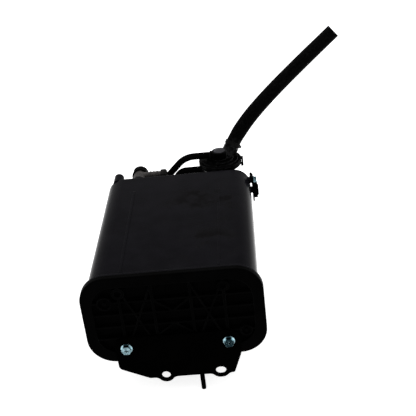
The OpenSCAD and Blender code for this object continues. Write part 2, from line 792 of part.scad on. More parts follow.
// Perforated plate with a raised ring to seat each spring
module grid_slots(x0, x1) {
    slot_w = 4;
    slot_h = 16;
    pitch = 8;
    count = floor((x1 - x0 - 2 * pitch) / pitch);
    start = (x0 + x1) / 2 - (count - 1) * pitch / 2;
    for (i = [0 : count - 1], row = [-1.5 : 1 : 1.5])
        translate([start + i * pitch, row * (slot_h + 4)]) square([slot_w, slot_h], center = true);
}
module spring_seat(p) {
    translate([p[0], grid_y, p[1]]) rotate([90, 0, 0]) difference() {
        cylinder(h = 1.5, r = spring_r + spring_wire / 2 + 2);
        translate([0, 0, -sink]) cylinder(h = 1.5 + 2 * sink, r = spring_r + spring_wire / 2 + 0.5);
    }
}
module main_grid_plate() {
    color("#2a2a2c") in_place() {
        difference() {
            main_slice(grid_y, grid_y + grid_t);
            along_y(grid_y - sink, grid_y + grid_t + sink)
                grid_slots(-body_w / 2 + wall, divider_x - divider_t / 2);
        }
        spring_seat(spring_places[0]);
        spring_seat(spring_places[1]);
    }
}
module buffer_grid_plate() {
    color("#2a2a2c") in_place() {
        difference() {
            buffer_slice(grid_y, grid_y + grid_t);
            along_y(grid_y - sink, grid_y + grid_t + sink)
                grid_slots(divider_x + divider_t / 2, body_w / 2 - wall);
        }
        spring_seat(spring_places[2]);
    }
}
module grid_springs() {
    color("#a9adb0") in_place() for (p = spring_places)
        translate([p[0], cover_t, p[1]]) rotate([-90, 0, 0])
            coil_spring(spring_r, spring_wire, spring_gap, spring_turns);
}

// Fitting on the purge port: a straight pipe with a capped service branch
module purge_fitting() {
    color("#57544f") in_place() difference() {
        union() {
            translate([purge_x, far_y - wall, purge_z]) rotate([-90, 0, 0])
                cylinder(h = wall + purge_boss_len + sink, r = purge_socket_r);
            translate([purge_x, purge_seat_y, purge_z]) rotate([-90, 0, 0])
                cylinder(h = purge_end_y - cap_len - purge_seat_y, d = purge_d);
            translate([purge_x, purge_end_y - cap_len - sink, purge_z]) rotate([-90, 0, 0])
                cylinder(h = cap_len + sink - cap_wall, r = purge_nipple_r);
            translate([purge_x, branch_y, branch_z]) rotate([0, 90, 0])
                cylinder(h = branch_len, d = branch_d);
            for (x = [0.5, 0.65, 0.8])
                translate([purge_x + x * branch_len, branch_y, branch_z]) rotate([0, 90, 0])
                    cylinder(h = 1.5, d = branch_d + 1.2);
        }
        translate([purge_x, far_y - 2 * wall, purge_z]) rotate([-90, 0, 0])
            cylinder(h = purge_reach + 3 * wall, d = purge_bore);
        translate([purge_x, branch_y, branch_z]) rotate([0, 90, 0])
            cylinder(h = branch_len + sink, d = branch_bore);
    }
}

// Dust cap over the end of the purge fitting
module purge_cap() {
    r = purge_nipple_r + fit_play;
    out = r + cap_wall;
    inner_end = cap_len - cap_wall + fit_play;
    color("#0e0e0f") in_place() translate([purge_x, purge_end_y - cap_len, purge_z]) rotate([-90, 0, 0])
        rotate_extrude() polygon([[r, 0], [out + 0.6, 0], [out + 0.6, 2], [out, 2.6], [out, cap_len - 1],
            [out - 1, cap_len], [0, cap_len], [0, inner_end], [r, inner_end]]);
}

// Ribbed cap that closes the service branch
module service_cap() {
    color("#161618") in_place() translate([branch_end_x, branch_y, branch_z]) rotate([0, 90, 0]) {
        cylinder(h = branch_cap_len - 1, d = branch_cap_d - 1);
        translate([0, 0, branch_cap_len - 1]) cylinder(h = 1, d1 = branch_cap_d - 1, d2 = branch_cap_d - 3);
        for (a = [0 : 30 : 330])
            rotate([0, 0, a]) translate([branch_cap_d / 2 - 1, -0.8, 1])
                cube([1, 1.6, branch_cap_len - 2.5]);
    }
}

// Lower half of the valve: spigot, barrel and dished rim, turned about its axis
module valve_base() {
    color("#1d1d1f") in_place() difference() {
        union() {
            translate([valve_x, valve_y, 0]) rotate_extrude() valve_base_profile();
            translate([loop_end_x, valve_y, loop_z]) rotate([0, 90, 0])
                cylinder(h = loop_collar + 0.4 * duct_r, d = loop_d);
            translate([loop_end_x - nipple_len, valve_y, loop_z]) rotate([0, 90, 0])
                cylinder(h = nipple_len + sink, d = nipple_d(loop_bore, thin_sides));
        }
        translate([loop_end_x - nipple_len - sink, valve_y, loop_z]) rotate([0, 90, 0])
            cylinder(h = valve_x - loop_end_x + nipple_len, r = nipple_bore_r(loop_bore));
    }
}
module valve_base_profile() {
    bore = spigot_r - 3;
    well = valve_r - 3;
    polygon([[bore, duct_top - spigot_len], [spigot_r, duct_top - spigot_len],
        [spigot_r, seal_z - seal_r - 0.2], [spigot_r - groove_depth, seal_z - seal_r - 0.2],
        [spigot_r - groove_depth, seal_z + seal_r + 0.2], [spigot_r, seal_z + seal_r + 0.2],
        [spigot_r, duct_top], [duct_r, duct_top], [duct_r, barrel_top],
        [duct_r + valve_z - barrel_top, valve_z], [valve_r - rim_chamfer, valve_z],
        [valve_r, valve_z + rim_chamfer], [valve_r, membrane_z], [well, membrane_z], [well, membrane_z - 3],
        [bore + 3, valve_z + 2], [bore, valve_z + 2]]);
}

module valve_seal() {
    mid_r = (duct_bore + spigot_r - groove_depth) / 2;
    color("#101010") in_place() translate([valve_x, valve_y, seal_z])
        rotate_extrude() translate([mid_r, 0]) circle(seal_r);
}

// Rubber diaphragm with one fold, clamped between the two halves
module valve_diaphragm() {
    z = membrane_z;
    t = membrane_t;
    color("#0f0f10") in_place() translate([valve_x, valve_y, 0]) rotate_extrude()
        polygon([[0, z - t / 2], [plate_r + 1, z - t / 2], [plate_r + 3, z - 2 * t],
            [plate_r + 6, z - 2 * t], [plate_r + 8.4, z], [valve_r - 0.5, z], [valve_r - 0.5, z + t],
            [plate_r + 7.8, z + t], [plate_r + 5.4, z - t], [plate_r + 3.6, z - t],
            [plate_r + 1.6, z + t / 2], [0, z + t / 2]]);
}

module diaphragm_plate() {
    color("#a3a7aa") in_place() translate([valve_x, valve_y, plate_z]) rotate_extrude()
        polygon([[0, 0], [plate_r, 0], [plate_r, disc_t], [valve_spring_r - 1.2, disc_t],
            [valve_spring_r - 1.8, 3], [0, 3]]);
}

module valve_spring() {
    color("#b4b8ba") in_place() translate([valve_x, valve_y, plate_z + disc_t])
        coil_spring(valve_spring_r, valve_spring_wire, tower_top - shell_t - plate_z - disc_t, 6);
}

// Upper half of the valve: stepped lid, tower, nipple, hose neck and snap hooks
module valve_cover() {
    color("#202022") in_place() difference() {
        union() {
            translate([valve_x, valve_y, 0]) rotate_extrude() valve_cover_outside();
            translate([signal_start_x, valve_y, signal_z]) rotate([0, 90, 0])
                cylinder(h = signal_collar + tower_r / 2, d = signal_d);
            translate([signal_start_x + 0.5, valve_y, signal_z]) rotate([0, 90, 0])
                cylinder(h = signal_collar + sink, d = signal_d + 2.5);
            translate([signal_start_x - nipple_len, valve_y, signal_z]) rotate([0, 90, 0])
                cylinder(h = nipple_len + sink, d = nipple_d(signal_bore, thin_sides));
            at_vent_start() translate([0, 0, -neck_len]) cylinder(h = neck_len, d = vent_d + 1);
            at_vent_start() translate([0, 0, -sink])
                cylinder(h = neck_nipple_len + sink, d = nipple_d(vent_bore, vent_sides));
            translate([valve_x, valve_y, 0]) for (a = clip_angles) rotate([0, 0, a]) snap_hook();
            translate([valve_x - 2, valve_y - steps[1] + lid_stub_d / 2, cover_z])
                cylinder(h = 2 * step_h + 3, d = lid_stub_d);
        }
        translate([valve_x, valve_y, 0]) rotate_extrude() valve_cover_inside();
        at_vent_start() translate([0, 0, -neck_len + 1])
            cylinder(h = neck_len + neck_nipple_len + sink, d = nipple_d(vent_bore, vent_sides) - 3);
        translate([signal_start_x - nipple_len - sink, valve_y, signal_z]) rotate([0, 90, 0])
            cylinder(h = nipple_len + signal_collar + tower_r, r = nipple_bore_r(signal_bore));
        translate([valve_x, valve_y, valve_z]) cylinder(h = cover_z - valve_z, r = valve_r + clip_gap);
    }
}
module valve_cover_outside() {
    translate([0, cover_z]) square([steps[0], step_h]);
    translate([0, cover_z + step_h - sink]) square([steps[1], step_h + sink]);
    translate([0, cover_z + 2 * step_h - sink]) square([steps[2], step_h + sink]);
    square_top = cover_z + 3 * step_h;
    translate([0, square_top - sink]) square([tower_r, tower_top - square_top + sink]);
}
module valve_cover_inside() {
    translate([0, cover_z - sink]) square([steps[1] - 1, step_h + sink - 0.2]);
    translate([0, cover_z]) square([steps[2] - 1, 2 * step_h - 0.2]);
    translate([0, cover_z]) square([tower_bore, tower_top - shell_t - cover_z]);
}
// Hook that snaps under the rim of the lower half
module snap_hook() {
    in_r = valve_r + clip_gap;
    foot = valve_z - hook_drop;
    translate([in_r, -hook_w / 2, foot]) cube([clip_t, hook_w, cover_z + step_h - foot]);
    translate([valve_r - 1.5, -hook_w / 2, cover_z]) cube([in_r - valve_r + 2.5, hook_w, step_h]);
    translate([valve_r - 0.8, -hook_w / 2, foot]) cube([2, hook_w, hook_drop - 1]);
}

module valve_cap() {
    sphere_r = (dome_r * dome_r + dome_rise * dome_rise) / (2 * dome_rise);
    color("#77787c") in_place() translate([valve_x, valve_y, tower_top]) {
        cylinder(h = dome_skirt, r = dome_r);
        translate([0, 0, dome_skirt]) intersection() {
            translate([0, 0, dome_rise - sphere_r]) sphere(sphere_r, $fn = 96);
            cylinder(h = dome_rise, r = dome_r);
        }
    }
}

// Vent hose along its own route, open at both ends
module at_vent_start() {
    translate(vent_start) rotate([0, vent_lean, vent_heading]) children();
}
module vent_hose() {
    color("#151516") in_place() translate(vent_start)
        swept_hose(vent_route, vent_heading, vent_d, vent_bore, vent_sides);
}

// Spring band with two ears that holds the vent hose on its neck
module vent_hose_clamp() {
    r = vent_d / 2 + clamp_gap;
    color("#3a3b3d") in_place() at_vent_start() translate([0, 0, 1]) {
        difference() {
            cylinder(h = clamp_w, r = r + clamp_band);
            translate([0, 0, -sink]) cylinder(h = clamp_w + 2 * sink, r = r);
            translate([r - 2, -1.5, -sink]) cube([6, 3, clamp_w + 2 * sink]);
        }
        for (s = [-1, 1])
            translate([r - 0.2, s * 2.2 - 0.7, 1]) cube([5, 1.4, clamp_w - 2]);
    }
}

module signal_hose() {
    color("#121213") in_place() translate([0, valve_y, 0])
        swept_hose(signal_route, 0, signal_d, signal_bore, thin_sides);
}

module loop_hose() {
    color("#101011") in_place() translate([0, valve_y, 0])
        swept_hose(loop_route, 0, loop_d, loop_bore, thin_sides);
}

// Steel strap on the side wall, rounded at its foot, with a lug turned in over the body's corner
module side_strap() {
    color("#131314") in_place() difference() {
        intersection() {
            along_y(strap_y - strap_w / 2, strap_y + strap_w / 2) polygon(strap_profile());
            translate([strap_x - strap_lug - sink, strap_y, 0]) rotate([90, 0, 90])
                linear_extrude(strap_t + strap_lug + 2 * sink) polygon(rounded(strap_outline()));
        }
        translate([strap_x - sink, strap_y, strap_screw_z]) rotate([0, 90, 0])
            cylinder(h = strap_t + 2 * sink, d = strap_screw_d + 0.4);
        translate([strap_x - sink, strap_y, clip_z]) rotate([0, 90, 0])
            cylinder(h = strap_t + 2 * sink, r = clip_peg_r + fit_play);
    }
}
function strap_profile() =
    let (
        lug = [-sin(strap_bend), cos(strap_bend)],
        outer = [strap_x + strap_t, strap_top],
        tip = outer + strap_lug * lug
    )
    [[strap_x, strap_bottom], [outer[0], strap_bottom], outer, tip, tip - strap_t * [lug[1], -lug[0]],
        [strap_x, strap_top - strap_t * tan(strap_bend / 2)]];
function strap_outline() =
    let (
        half = strap_w / 2 + 0.1,
        head = strap_top + strap_lug
    )
    [[-half, strap_bottom, strap_w * 0.4], [half, strap_bottom, strap_w * 0.4],
        [half, head, 1], [-half, head, 1]];

module strap_screw() {
    color("#cfd8dc") in_place() translate([strap_x + strap_t, strap_y, strap_screw_z]) rotate([0, 90, 0])
        flange_screw(strap_screw_d, strap_t + strap_screw_len - 1);
}

// Moulded clip with stepped ends, a peg through the strap and an eye for a line
module line_clip() {
    face = strap_x + strap_t;
    color("#0c0c0d") in_place() {
        difference() {
            along_y(strap_y - strap_w / 2, strap_y + strap_w / 2)
                translate([face, clip_z]) polygon(rounded(clip_outline()));
            translate([face + clip_h / 2, strap_y - strap_w, clip_z]) rotate([-90, 0, 0])
                cylinder(h = 2 * strap_w, r = clip_line_r);
        }
        translate([strap_x - strap_pad + 0.5, strap_y, clip_z]) rotate([0, 90, 0])
            cylinder(h = strap_pad + strap_t, r = clip_peg_r);
    }
}
function clip_outline() =
    let (
        end = clip_len / 2,
        low = clip_h - 1.5
    )
    [[0, -end, 0.3], [low, -end, 0.8], [low, -0.7 * end, 0.5], [clip_h, -0.5 * end, 1],
        [clip_h, 0.4 * end, 1], [low + 0.3, 0.6 * end, 0.5], [low + 0.3, end, 0.8], [0, end, 0.3]];

housing();
end_cover();
mount_bracket();
bracket_screws();
screw_inserts();
main_carbon_bed();
buffer_carbon_bed();
main_port_filter();
buffer_port_filter();
main_cover_filter();
buffer_cover_filter();
main_grid_plate();
buffer_grid_plate();
grid_springs();
purge_fitting();
purge_cap();
service_cap();
valve_base();
valve_seal();
valve_diaphragm();
diaphragm_plate();
valve_spring();
valve_cover();
valve_cap();
signal_hose();
loop_hose();
vent_hose();
vent_hose_clamp();
side_strap();
strap_screw();
line_clip();
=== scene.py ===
import math

import bmesh
import bpy
from mathutils import Matrix, Vector


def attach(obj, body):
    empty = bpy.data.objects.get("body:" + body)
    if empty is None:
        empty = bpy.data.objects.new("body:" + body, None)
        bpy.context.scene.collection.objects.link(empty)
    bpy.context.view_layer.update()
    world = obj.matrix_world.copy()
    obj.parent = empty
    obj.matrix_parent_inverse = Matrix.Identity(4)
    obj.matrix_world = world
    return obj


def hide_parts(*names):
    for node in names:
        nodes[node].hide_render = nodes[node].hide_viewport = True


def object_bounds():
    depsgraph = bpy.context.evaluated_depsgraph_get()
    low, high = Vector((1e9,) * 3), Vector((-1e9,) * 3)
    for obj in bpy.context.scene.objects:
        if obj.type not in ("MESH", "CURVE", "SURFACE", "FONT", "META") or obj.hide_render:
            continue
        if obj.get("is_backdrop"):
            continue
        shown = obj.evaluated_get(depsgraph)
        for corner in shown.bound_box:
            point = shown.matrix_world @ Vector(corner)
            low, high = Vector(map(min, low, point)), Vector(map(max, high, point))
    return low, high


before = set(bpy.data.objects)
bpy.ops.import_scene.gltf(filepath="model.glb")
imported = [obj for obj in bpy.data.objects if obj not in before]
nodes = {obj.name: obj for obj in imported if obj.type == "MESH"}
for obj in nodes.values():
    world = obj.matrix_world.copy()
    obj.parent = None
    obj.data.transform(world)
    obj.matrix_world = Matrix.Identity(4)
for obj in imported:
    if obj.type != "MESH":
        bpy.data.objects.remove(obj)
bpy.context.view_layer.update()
scene = bpy.context.scene
scene.view_settings.view_transform = "Standard"
mm = 0.001
print("frame loaded:", len(nodes), "nodes")

# Hose routes are given in mm in the canister's own frame; this shift puts the bracket hole at the origin
canisterShift = Vector((18, 2, 78))


def toRow(x, y, z):
    return (Vector((x, y, z)) + canisterShift) * mm


# Camera, at the photograph's viewpoint, in metres
viewpoint = {
    "place": (0.124644, -0.807806, 0.652722),
    "right": (0.99451, 0.01078, -0.10404),
    "up": (0.08598, 0.48226, 0.87180),
    "lens": 78.03,
    "sensor": 36.0,
    "clip": (0.02, 50.0),
}


def addCamera(look):
    right, up = Vector(look["right"]).normalized(), Vector(look["up"]).normalized()
    back = right.cross(up).normalized()
    data = bpy.data.cameras.new("photoCamera")
    data.lens, data.sensor_width, data.sensor_fit = look["lens"], look["sensor"], "AUTO"
    data.clip_start, data.clip_end = look["clip"]
    camera = bpy.data.objects.new("photoCamera", data)
    scene.collection.objects.link(camera)
    turn = Matrix((right, up, back)).transposed().to_4x4()
    camera.matrix_world = Matrix.Translation(Vector(look["place"])) @ turn
    scene.camera = camera


addCamera(viewpoint)
print("camera placed")


# Hoses: one closed tube each, with a bore and softly rounded ends; the far end may be cut on a slant
def smoothRoute(points, step):
    ends = [points[0] * 2 - points[1]] + list(points) + [points[-1] * 2 - points[-2]]
    fine = []
    for a, b, c, d in zip(ends, ends[1:], ends[2:], ends[3:]):
        pieces = max(1, round((c - b).length / step))
        for i in range(pieces):
            t = i / pieces
            fine.append(0.5 * (2 * b + (c - a) * t + (2 * a - 5 * b + 4 * c - d) * t ** 2
                               + (3 * b - a - 3 * c + d) * t ** 3))
    return fine + [points[-1]]


def routeLength(points):
    return sum((b - a).length for a, b in zip(points, points[1:]))


def tubePiece(name, centres, radii, bore, sides, lip, cut=None, overhang=0):
    mesh = bmesh.new()
    last = len(centres) - 1
    body = range(1, last if cut is None else last - 1)  # a slanted end needs room behind it
    ways = [(centres[min(i + 1, last)] - centres[max(i - 1, 0)]).normalized() for i in range(last + 1)]
    side = ways[0].orthogonal().normalized()
    frames = []
    for way in ways:
        side = (side - way * side.dot(way)).normalized()
        frames.append((side, way.cross(side)))

    def ring(i, radius, along):
        u, v = frames[i]
        spot = centres[i] + ways[i] * along
        arms = [(u * math.cos(a) + v * math.sin(a)) * radius for a in angles]
        if i == last and cut is not None:
            arms = [arm + ways[i] * (overhang - arm.dot(cut) / ways[i].dot(cut)) for arm in arms]
        return [mesh.verts.new(spot + arm) for arm in arms]

    angles = [2 * math.pi * j / sides for j in range(sides)]
    bends = [math.pi / 6 * i for i in range(4)]
    quarter = [(1 - math.sin(t), 1 - math.cos(t)) for t in bends]  # the round of a lip
    rings = [ring(0, radii[0] - lip * a, lip * b) for a, b in quarter]
    rings += [ring(i, radii[i], 0) for i in body]
    rings += [ring(last, radii[last] - lip * b, -lip * a) for a, b in quarter]
    rings += [ring(i, bore, 0) for i in (last, *reversed(body), 0)]
    for first, second in zip(rings, rings[1:] + rings[:1]):
        for j in range(sides):
            k = (j + 1) % sides
            mesh.faces.new((first[j], first[k], second[k], second[j]))
    bmesh.ops.recalc_face_normals(mesh, faces=mesh.faces)
    data = bpy.data.meshes.new(name)
    mesh.to_mesh(data)
    mesh.free()
    for face in data.polygons:
        face.use_smooth = True
    piece = bpy.data.objects.new(name, data)
    scene.collection.objects.link(piece)
    return piece


ventHoseLook = {
    "start": (72.9, 298.9, 60.6),
    "heading": 38.0,  # degrees from straight across
    "route": [(0, 0), (4.3, 5.5), (9.1, 10.6), (14.9, 16.1), (21.9, 21.8), (29.9, 27.7),
              (39.1, 33.8), (50.3, 40.4), (62.6, 47.1), (76, 53.9), (90.4, 60.9), (104.9, 67.6),
              (120.4, 74.6), (135.9, 81.5), (151.5, 88.3), (167.1, 95), (181.8, 101.3),
              (194.7, 106.8)],  # run along the heading, and rise
    "step": 4.0,
    "foot": 9.5,  # outer radius inside the clamp
    "outer": 10.0,  # outer radius above it
    "swell": (12.0, 22.0),  # where it widens, along the route
    "bore": 7.0,
    "lip": 0.5,
    "sides": 40,
    "cut": (0.777, 0.129, 0.618),  # across the free end's slant
    "overhang": 1.5,
}


def addVentHose(look):
    heading = math.radians(look["heading"])
    ahead = Vector((math.cos(heading), math.sin(heading), 0))
    start = Vector(look["start"])
    points = [start + ahead * run + Vector((0, 0, rise)) for run, rise in look["route"]]
    centres = [toRow(*p) for p in smoothRoute(points, look["step"])]
    low, high = look["swell"]
    runs = [routeLength(centres[:i + 1]) / mm for i in range(len(centres))]
    shares = [min(1, max(0, (run - low) / (high - low))) for run in runs]
    radii = [(look["foot"] + (look["outer"] - look["foot"]) * share) * mm for share in shares]
    hose = tubePiece("ventHose", centres, radii, look["bore"] * mm, look["sides"], look["lip"] * mm,
                     Vector(look["cut"]), look["overhang"] * mm)
    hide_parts("vent_hose")
    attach(hose, "root")
    routeLength(centres)
    return hose


ventHose = addVentHose(ventHoseLook)
ventHose.visible_glossy = False  # keeps its mirror image off the housing's glossy corner
print("vent hose laid")


def arcPoints(centre, radius, first, last, count):
    angles = [math.radians(first + (last - first) * i / count) for i in range(count + 1)]
    return [(centre[0] + radius * math.cos(a), centre[1] + radius * math.sin(a)) for a in angles]


# Each arc is its centre, radius, first and last angle, and number of steps
thinHoseLooks = {
    "signalHose": {
        "node": "signal_hose",
        "y": 285.5,
        "outer": 4.5,
        "bore": 2.5,
        "sides": 28,
        "lip": 0.5,
        "start": (43.0, 56.7),
        "arcs": [((21.5, 26.7), 30, 90, 135, 12), ((-7.4914, 18.9218), 15, 135, 180, 10)],
        "end": (-22.4914, 10.9218),
    },
    "loopHose": {
        "node": "loop_hose",
        "y": 285.5,
        "outer": 4.75,
        "bore": 2.75,
        "sides": 28,
        "lip": 0.5,
        "start": (-5.0, 14.45),
        "arcs": [((9.0, 22.45), 14, 180, 90, 14)],
        "end": (41.0, 36.45),
    },
}


def addThinHose(name, look):
    flat = [look["start"]]
    for arc in look["arcs"]:
        flat += arcPoints(*arc)
    flat.append(look["end"])
    centres = [toRow(x, look["y"], z) for x, z in flat]
    radii = [look["outer"] * mm] * len(centres)
    hose = tubePiece(name, centres, radii, look["bore"] * mm, look["sides"], look["lip"] * mm)
    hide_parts(look["node"])
    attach(hose, "root")
    return hose


thinHoses = [addThinHose(name, look) for name, look in thinHoseLooks.items()]
print("thin hoses laid")


# Sockets of a material, with their sums written as Python
class Shade:
    def __init__(self, tree, socket=None):
        self.tree, self.socket = tree, socket

    def add(self, kind, settings=None, inputs=None, out=0):
        node = self.tree.nodes.new(kind)
        for key, value in (settings or {}).items():
            setattr(node, key, value)
        for key, value in (inputs or {}).items():
            if isinstance(value, Shade):
                self.tree.links.new(value.socket, node.inputs[key])
            else:
                node.inputs[key].default_value = value
        return Shade(self.tree, node.outputs[out])

    def maths(self, operation, a, b=0.5):
        return self.add("ShaderNodeMath", {"operation": operation}, {0: a, 1: b})

    def __add__(self, other):
        return self.maths("ADD", self, other)

    def __sub__(self, other):
        return self.maths("SUBTRACT", self, other)

    def __rsub__(self, other):
        return self.maths("SUBTRACT", other, self)

    def __mul__(self, other):
        return self.maths("MULTIPLY", self, other)

    __radd__ = __add__
    __rmul__ = __mul__

    def step(self, low, high):
        return self.add("ShaderNodeMapRange", {"interpolation_type": "SMOOTHSTEP"},
                        {"Value": self, "From Min": low, "From Max": high})

    def tint(self, first, second):  # 6, 7 and 2 are the mix node's colour sockets
        return self.add("ShaderNodeMix", {"data_type": "RGBA"}, {0: self, 6: first, 7: second}, 2)


def newMaterial(name):
    material = bpy.data.materials.new(name)
    material.use_nodes = True
    tree = material.node_tree
    tree.nodes.clear()
    out = tree.nodes.new("ShaderNodeOutputMaterial")
    shader = tree.nodes.new("ShaderNodeBsdfPrincipled")
    tree.links.new(shader.outputs[0], out.inputs[0])
    return material, shader, Shade(tree)


noiseMean = 0.5


def noise(pen, place, scale, detail=3.0, rough=0.55):
    return pen.add("ShaderNodeTexNoise", None,
                   {"Vector": place, "Scale": scale, "Detail": detail, "Roughness": rough})


def feed(pen, shader, links, fixed):
    for name, value in links.items():
        pen.tree.links.new(value.socket, shader.inputs[name])
    for name, value in fixed.items():
        shader.inputs[name].default_value = value


# Moulded plastic, rubber and painted steel: dull black with grain and smudges, and paler edges that are
# painted highlights along rounded edges, broken up like wear; on the valve and the vent hose's foot the
# pale smudges are painted glints
# Depth and round are in mm; the depths of the painted recess shade are in metres, and so are the patches,
# each a centre and a reach
finishes = {
    "housingFinish": {"dark": (0.0023, 0.0021, 0.0031), "pale": (0.0040, 0.0037, 0.0052),
                      "edge": (0.0040, 0.0037, 0.0047), "smudgeAndGlint": (0.0012, 0.0009, 0.0006), "rough": 0.18,
                      "spread": 0.05, "dull": 0.34, "grain": 1500, "depth": 0.012, "round": 0.7,
                      "specular": 0.0092, "sheen": (0.90, 0.88, 1.0, 1),
                      "patches": [((0.055, 0.165, 0.126), 0.060), ((0.060, 0.068, 0.126), 0.045)],
                      "elsewhere": 0.1},
    "coverFinish": {"dark": (0.0004, 0.0004, 0.0004), "pale": (0.0009, 0.0009, 0.0010),
                    "edge": (0.0125, 0.0125, 0.0129), "smudgeAndGlint": (0.0008, 0.0007, 0.0006), "rough": 0.45,
                    "spread": 0.10, "dull": 0.10, "grain": 1500, "depth": 0.05, "round": 0.9,
                    "specular": 0.005, "levelEdgeShare": 0.35, "recessShade": (0.0040, 0.0085)},
    "bracketFinish": {"dark": (0.0001, 0.0001, 0.0001), "pale": (0.0003, 0.0003, 0.0003),
                      "edge": (0.0030, 0.0030, 0.0030), "smudgeAndGlint": (0.0005, 0.0004, 0.0003), "rough": 0.38,
                      "spread": 0.10, "dull": 0.08, "grain": 900, "depth": 0.05, "round": 0.4,
                      "specular": 0.002},
    # Valve: the pale edges are painted highlights on the lid's steps, and the pale smudge, kept to a patch
    # around the vent neck, is painted glints
    "valveFinish": {"dark": (0.0002, 0.0002, 0.0002), "pale": (0.0006, 0.0006, 0.0007),
                    "edge": (0.0900, 0.0900, 0.0920), "smudgeAndGlint": (0.0480, 0.0480, 0.0500), "rough": 0.34,
                    "spread": 0.10, "dull": 0.08, "grain": 1500, "depth": 0.04, "round": 0.6,
                    "specular": 0.007, "patches": [((0.0878, 0.2985, 0.1348), 0.018)], "elsewhere": 0.0},
    "capFinish": {"dark": (0.0005, 0.0005, 0.0005), "pale": (0.0012, 0.0012, 0.0012),
                  "edge": (0.0040, 0.0040, 0.0040), "smudgeAndGlint": (0.0016, 0.0014, 0.0012), "rough": 0.5,
                  "spread": 0.08, "dull": 0.08, "grain": 1200, "depth": 0.04, "round": 0.4,
                  "specular": 0.006},
    "towerCapFinish": {"dark": (0.040, 0.040, 0.0460), "pale": (0.064, 0.064, 0.0735),
                       "edge": (0.050, 0.050, 0.055), "smudgeAndGlint": (0.020, 0.019, 0.019), "rough": 0.42,
                       "spread": 0.08, "dull": 0.06, "grain": 1200, "depth": 0.04, "round": 0.4,
                       "specular": 0.02},
    "hoseFinish": {"dark": (0.0006, 0.0006, 0.0006), "pale": (0.0016, 0.0016, 0.0016),
                   "edge": (0.0035, 0.0035, 0.0035), "smudgeAndGlint": (0.0013, 0.0013, 0.0012), "rough": 0.46,
                   "spread": 0.10, "dull": 0.08, "grain": 1100, "depth": 0.05, "round": 0.3,
                   "specular": 0.004},
    # Vent hose: the pale smudge, kept to a patch at its foot, is painted glints
    "sleeveFinish": {"dark": (0.0002, 0.0002, 0.0002), "pale": (0.0008, 0.0008, 0.0008),
                     "edge": (0.0035, 0.0035, 0.0035), "smudgeAndGlint": (0.0360, 0.0360, 0.0375), "rough": 0.36,
                     "spread": 0.10, "dull": 0.08, "grain": 1100, "depth": 0.05, "round": 0.3,
                     "specular": 0.005, "flecks": (0.0042, 0.0042, 0.0042),
                     "patches": [((0.0905, 0.3010, 0.1385), 0.019)], "elsewhere": 0.0},
    "plugFinish": {"dark": (0.004, 0.004, 0.0042), "pale": (0.014, 0.014, 0.0145),
                   "edge": (0.050, 0.050, 0.050), "smudgeAndGlint": (0.014, 0.012, 0.010), "rough": 0.4,
                   "spread": 0.12, "dull": 0.10, "grain": 900, "depth": 0.03, "round": 0.3,
                   "specular": 0.05},
    "bandFinish": {"dark": (0.0020, 0.0020, 0.0020), "pale": (0.0060, 0.0060, 0.0062),
                   "edge": (0.0700, 0.0700, 0.0710), "smudgeAndGlint": (0.0100, 0.0095, 0.0090), "rough": 0.4,
                   "spread": 0.12, "dull": 0.10, "grain": 900, "depth": 0.03, "round": 0.3,
                   "specular": 0.02},
    "gridFinish": {"dark": (0.006, 0.006, 0.0065), "pale": (0.011, 0.011, 0.0115),
                   "edge": (0.02, 0.02, 0.02), "smudgeAndGlint": (0.008, 0.008, 0.007), "rough": 0.5,
                   "spread": 0.08, "dull": 0.06, "grain": 1200, "depth": 0.04, "round": 0.4,
                   "specular": 0.1},
}
# What all those finishes share
blackSurface = {
    "broadScale": 14.0,
    "cloudScale": 55.0,
    "broadShare": 0.6,
    "groundRange": (0.35, 0.65),
    "smearScale": 26.0,
    "smearRange": (0.46, 0.62),
    "smearShare": 0.65,
    "edgeRange": (0.01, 0.12),  # how far the softened normal leans from the face's own
    "edgeGaps": (0.3, 0.7),
    "edgeShare": 0.7,
    "flankRange": (0.1, 0.4),
    "recessShadeShare": 0.85,
    "weaveScale": 820.0,
    "weaveRange": (0.48, 0.66),
    "grainRough": 0.06,
    "bumpStrength": 0.35,
}
patchCore = 0.5  # share of a patch's reach that it fills fully
roundSamples = 6
plainTint = (1, 1, 1, 1)


def solid(colour):
    return (*colour, 1)


def softNormal(pen, radius):
    return pen.add("ShaderNodeBevel", {"samples": roundSamples}, {"Radius": radius * mm})


def bumpOn(pen, strength, depth, height, normal=None):
    inputs = {"Strength": strength, "Distance": depth * mm, "Height": height}
    if normal is not None:
        inputs["Normal"] = normal
    return pen.add("ShaderNodeBump", None, inputs)


def nearPatches(pen, place, patches):
    near = 0
    for centre, reach in patches:
        away = pen.add("ShaderNodeVectorMath", {"operation": "DISTANCE"}, {0: place, 1: centre},
                       "Value")
        near = pen.maths("MAXIMUM", 1 - away.step(reach * patchCore, reach), near)
    return near


